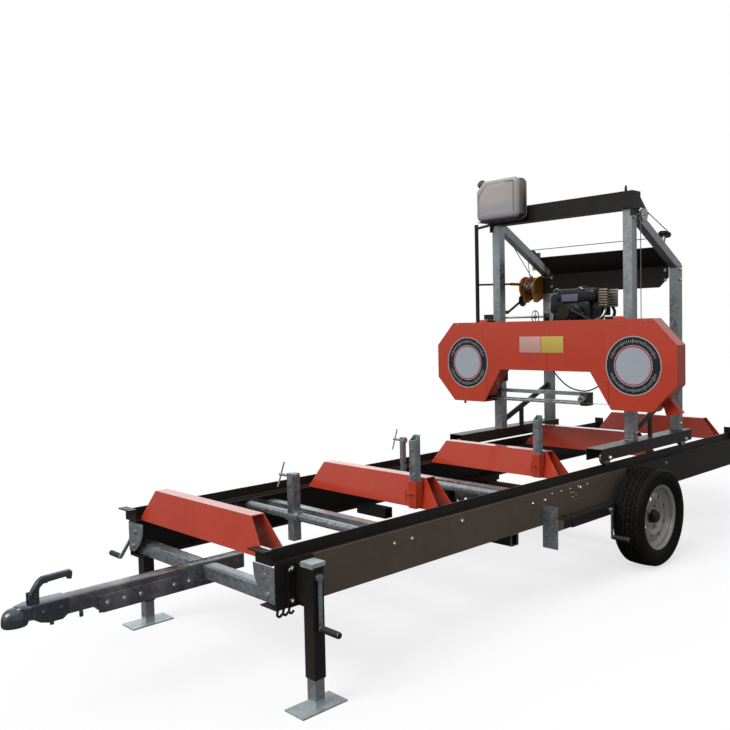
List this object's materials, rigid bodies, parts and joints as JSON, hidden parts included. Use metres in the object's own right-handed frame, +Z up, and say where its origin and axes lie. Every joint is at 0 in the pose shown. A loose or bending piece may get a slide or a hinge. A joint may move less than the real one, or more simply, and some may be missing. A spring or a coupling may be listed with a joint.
{
  "type": "portable sawmill",
  "caption": "Trailer-mounted horizontal band sawmill: log bed on rails with a road axle, and a rolling four-post carriage whose winch lifts a covered band saw head.",
  "frame": {"origin": "middle of the bounding box at the ground, between the two rails", "axes": "+X along the log bed from the coupler to the rear end, +Y to the far side with the winch, +Z up"},
  "size_m": [4.972, 1.776, 2.426],
  "materials": {
    "black_paint": "gloss black coat on steel",
    "orange_paint": "orange-red coat on folded steel sheet",
    "galvanised": "hot-dip galvanised steel",
    "zinc": "bright zinc plated steel",
    "tyre": "moulded tyre rubber",
    "rubber": "smooth black rubber",
    "silver_paint": "silver coat on pressed steel",
    "cast_iron": "machined casting",
    "blade_steel": "bright spring steel",
    "engine_black": "black painted casting and sheet",
    "yellow_paint": "yellow-orange coat",
    "tank_plastic": "blow-moulded natural plastic",
    "cap_plastic": "moulded dark plastic",
    "cable_steel": "stranded steel rope"
  },
  "bodies": {
    "bed": {"rail_near": "black_paint", "rail_far": "black_paint", "bunk_1": "orange_paint", "bunk_2": "orange_paint", "bunk_3": "orange_paint", "bunk_4": "orange_paint", "bunk_5": "orange_paint", "clamp_tube_1": "galvanised", "clamp_tube_2": "galvanised", "axle": "black_paint", "drawbar": "galvanised"},
    "coupler_lever": {"coupler_lever": "black_paint"},
    "jack_leg_near": {"jack_leg_near": "galvanised"},
    "jack_leg_far": {"jack_leg_far": "galvanised"},
    "jack_crank_near": {"jack_crank_near": "black_paint"},
    "jack_crank_far": {"jack_crank_far": "black_paint"},
    "swing_jack": {"swing_jack": "galvanised"},
    "wheel_near": {"tyre_near": "tyre", "rim_near": "silver_paint"},
    "wheel_far": {"tyre_far": "tyre", "rim_far": "silver_paint"},
    "clamp_post_1": {"clamp_post_1": "galvanised"},
    "clamp_post_2": {"clamp_post_2": "galvanised"},
    "clamp_screw_1": {"clamp_screw_1": "zinc"},
    "clamp_screw_2": {"clamp_screw_2": "zinc"},
    "log_stop_1": {"log_stop_1": "galvanised"},
    "log_stop_2": {"log_stop_2": "galvanised"},
    "carriage": {"side_frame_near": "galvanised", "side_frame_far": "galvanised", "top_beam": "black_paint", "rear_panel": "black_paint", "water_tank": "tank_plastic", "winch_frame": "yellow_paint", "lift_cable": "cable_steel", "lift_cable_near_drop": "cable_steel", "lift_cable_far_drop": "cable_steel"},
    "roller_near_1": {"carriage_roller_near_1": "zinc"},
    "roller_near_2": {"carriage_roller_near_2": "zinc"},
    "roller_far_1": {"carriage_roller_far_1": "zinc"},
    "roller_far_2": {"carriage_roller_far_2": "zinc"},
    "tank_cap": {"tank_cap": "cap_plastic"},
    "winch_drum": {"winch_drum": "zinc"},
    "winch_crank": {"winch_crank": "black_paint"},
    "top_sheave_near": {"top_sheave_near": "zinc"},
    "top_sheave_far": {"top_sheave_far": "zinc"},
    "brace_sheave_near": {"brace_sheave_near": "black_paint"},
    "brace_sheave_far": {"brace_sheave_far": "black_paint"},
    "head": {"head_frame": "black_paint", "saw_blade": "blade_steel", "engine": "engine_black", "drive_belt": "rubber", "water_hose": "rubber"},
    "blade_cover": {"blade_cover": "orange_paint"},
    "drive_wheel": {"drive_wheel": "cast_iron"},
    "engine_pulley": {"engine_pulley": "cast_iron"},
    "tension_slide": {"tension_slide": "black_paint"},
    "idler_wheel": {"idler_wheel": "cast_iron"},
    "tension_screw": {"tension_screw": "zinc"},
    "guide_arm": {"guide_arm": "galvanised"},
    "guide_roller": {"guide_roller": "zinc"}
  },
  "joints": [
    {"name": "carriage_travel", "type": "slide", "parent": "bed", "child": "carriage", "axis": [1, 0, 0], "range_m": [-2.32, 0.65]},
    {"name": "roller_near_1_spin", "type": "hinge", "parent": "carriage", "child": "roller_near_1", "pos_m": [0.714, -0.534, 0.6423], "axis": [0, 1, 0], "range_deg": [-3520, 995]},
    {"name": "roller_near_2_spin", "type": "hinge", "parent": "carriage", "child": "roller_near_2", "pos_m": [1.694, -0.534, 0.6423], "axis": [0, 1, 0], "range_deg": [-3520, 995]},
    {"name": "roller_far_1_spin", "type": "hinge", "parent": "carriage", "child": "roller_far_1", "pos_m": [0.714, 0.534, 0.6423], "axis": [0, 1, 0], "range_deg": [-3520, 995]},
    {"name": "roller_far_2_spin", "type": "hinge", "parent": "carriage", "child": "roller_far_2", "pos_m": [1.694, 0.534, 0.6423], "axis": [0, 1, 0], "range_deg": [-3520, 995]},
    {"name": "head_lift", "type": "slide", "parent": "carriage", "child": "head", "axis": [0, 0, 1], "range_m": [-0.19, 0.38], "deforming": ["lift_cable_near_drop", "lift_cable_far_drop"]},
    {"name": "winch_drum_turn", "type": "hinge", "parent": "carriage", "child": "winch_drum", "pos_m": [1.5937, 0.566, 1.7], "axis": [0, 1, 0], "range_deg": [-395, 785]},
    {"name": "winch_crank_turn", "type": "hinge", "parent": "carriage", "child": "winch_crank", "pos_m": [1.5837, 0.67, 1.605], "axis": [0, 1, 0], "range_deg": [-3125, 1565]},
    {"name": "top_sheave_near_turn", "type": "hinge", "parent": "carriage", "child": "top_sheave_near", "pos_m": [1.183, -0.54, 2.079], "axis": [0, 1, 0], "range_deg": [-290, 575]},
    {"name": "top_sheave_far_turn", "type": "hinge", "parent": "carriage", "child": "top_sheave_far", "pos_m": [1.183, 0.54, 2.079], "axis": [0, 1, 0], "range_deg": [-290, 575]},
    {"name": "brace_sheave_near_turn", "type": "hinge", "parent": "carriage", "child": "brace_sheave_near", "pos_m": [1.537, -0.5017, 1.987], "axis": [0.3515, 0, 0.9362], "range_deg": [-290, 575]},
    {"name": "brace_sheave_far_turn", "type": "hinge", "parent": "carriage", "child": "brace_sheave_far", "pos_m": [1.57968, 0.552, 1.93585], "axis": [0.984, 0, 0.1781], "range_deg": [-575, 290]},
    {"name": "tank_cap_turn", "type": "hinge", "parent": "carriage", "child": "tank_cap", "pos_m": [0.975, 0.516, 2.372], "axis": [0, 0.7071, 0.7071], "range_deg": [0, 360]},
    {"name": "cover_swing", "type": "hinge", "parent": "head", "child": "blade_cover", "pos_m": [0.984, 0, 1.455], "axis": [0, 1, 0], "range_deg": [0, 90]},
    {"name": "drive_wheel_spin", "type": "hinge", "parent": "head", "child": "drive_wheel", "pos_m": [0.934, -0.62, 1.168], "axis": [1, 0, 0], "continuous": true},
    {"name": "engine_pulley_spin", "type": "hinge", "parent": "head", "child": "engine_pulley", "pos_m": [1.045, -0.06, 1.498], "axis": [1, 0, 0], "continuous": true},
    {"name": "idler_wheel_spin", "type": "hinge", "parent": "tension_slide", "child": "idler_wheel", "pos_m": [0.934, 0.62, 1.168], "axis": [1, 0, 0], "continuous": true},
    {"name": "guide_roller_spin", "type": "hinge", "parent": "guide_arm", "child": "guide_roller", "pos_m": [0.934, -0.25, 0.95], "axis": [1, 0, 0], "continuous": true},
    {"name": "tension_screw_turn", "type": "hinge", "parent": "head", "child": "tension_screw", "pos_m": [1.159, 0.24, 1.474], "axis": [0, 1, 0], "range_deg": [-2160, 0]},
    {"name": "tension_slide_move", "type": "slide", "parent": "head", "child": "tension_slide", "axis": [0, 1, 0], "range_m": [-0.012, 0]},
    {"name": "guide_arm_slide", "type": "slide", "parent": "head", "child": "guide_arm", "axis": [0, 1, 0], "range_m": [-0.08, 0.3]},
    {"name": "jack_crank_near_turn", "type": "hinge", "parent": "bed", "child": "jack_crank_near", "pos_m": [-1.596, -0.6688, 0.5], "axis": [0, 1, 0], "range_deg": [-5625, 2250]},
    {"name": "jack_leg_near_slide", "type": "slide", "parent": "bed", "child": "jack_leg_near", "axis": [0, 0, 1], "range_m": [-0.25, 0.1]},
    {"name": "jack_crank_far_turn", "type": "hinge", "parent": "bed", "child": "jack_crank_far", "pos_m": [-1.596, 0.6688, 0.5], "axis": [0, 1, 0], "range_deg": [-5625, 2250]},
    {"name": "jack_leg_far_slide", "type": "slide", "parent": "bed", "child": "jack_leg_far", "axis": [0, 0, 1], "range_m": [-0.25, 0.1]},
    {"name": "swing_jack_fold", "type": "hinge", "parent": "bed", "child": "swing_jack", "pos_m": [0.389, -0.612, 0.372], "axis": [0, -1, 0], "range_deg": [0, 90]},
    {"name": "wheel_near_spin", "type": "hinge", "parent": "bed", "child": "wheel_near", "pos_m": [0.929, -0.696, 0.2865], "axis": [0, 1, 0], "continuous": true},
    {"name": "wheel_far_spin", "type": "hinge", "parent": "bed", "child": "wheel_far", "pos_m": [0.929, 0.696, 0.2865], "axis": [0, 1, 0], "continuous": true},
    {"name": "coupler_lever_lift", "type": "hinge", "parent": "bed", "child": "coupler_lever", "pos_m": [-2.396, 0, 0.476], "axis": [0, -1, 0], "range_deg": [0, 60]},
    {"name": "clamp_post_1_slide", "type": "slide", "parent": "bed", "child": "clamp_post_1", "axis": [0, 1, 0], "range_m": [-0.3, 0.26]},
    {"name": "clamp_post_2_slide", "type": "slide", "parent": "bed", "child": "clamp_post_2", "axis": [0, 1, 0], "range_m": [-0.3, 0.075]},
    {"name": "clamp_screw_1_feed", "type": "slide", "parent": "clamp_post_1", "child": "clamp_screw_1", "axis": [0, -1, 0], "range_m": [0, 0.05]},
    {"name": "clamp_screw_2_feed", "type": "slide", "parent": "clamp_post_2", "child": "clamp_screw_2", "axis": [0, -1, 0], "range_m": [0, 0.03]},
    {"name": "log_stop_1_slide", "type": "slide", "parent": "bed", "child": "log_stop_1", "axis": [0, 0, 1], "range_m": [-0.215, 0.1]},
    {"name": "log_stop_2_slide", "type": "slide", "parent": "bed", "child": "log_stop_2", "axis": [0, 0, 1], "range_m": [-0.215, 0.1]}
  ],
  "couplings": [
    {"joint": "roller_near_1_spin", "follows": "carriage_travel", "rad_per_m": 26.316},
    {"joint": "roller_near_2_spin", "follows": "carriage_travel", "rad_per_m": 26.316},
    {"joint": "roller_far_1_spin", "follows": "carriage_travel", "rad_per_m": 26.316},
    {"joint": "roller_far_2_spin", "follows": "carriage_travel", "rad_per_m": 26.316},
    {"joint": "winch_drum_turn", "follows": "head_lift", "rad_per_m": 35.461},
    {"joint": "winch_crank_turn", "follows": "head_lift", "rad_per_m": -141.84},
    {"joint": "top_sheave_near_turn", "follows": "head_lift", "rad_per_m": 26.11},
    {"joint": "top_sheave_far_turn", "follows": "head_lift", "rad_per_m": 26.11},
    {"joint": "brace_sheave_near_turn", "follows": "head_lift", "rad_per_m": 26.11},
    {"joint": "brace_sheave_far_turn", "follows": "head_lift", "rad_per_m": -26.11},
    {"joint": "engine_pulley_spin", "follows": "drive_wheel_spin", "ratio": 2.213},
    {"joint": "idler_wheel_spin", "follows": "drive_wheel_spin", "ratio": 1},
    {"joint": "guide_roller_spin", "follows": "drive_wheel_spin", "ratio": 10.92},
    {"joint": "tension_screw_turn", "follows": "tension_slide_move", "rad_per_m": 3141.6},
    {"joint": "jack_leg_near_slide", "follows": "jack_crank_near_turn", "m_per_rad": 0.002546},
    {"joint": "jack_leg_far_slide", "follows": "jack_crank_far_turn", "m_per_rad": 0.002546}
  ]
}
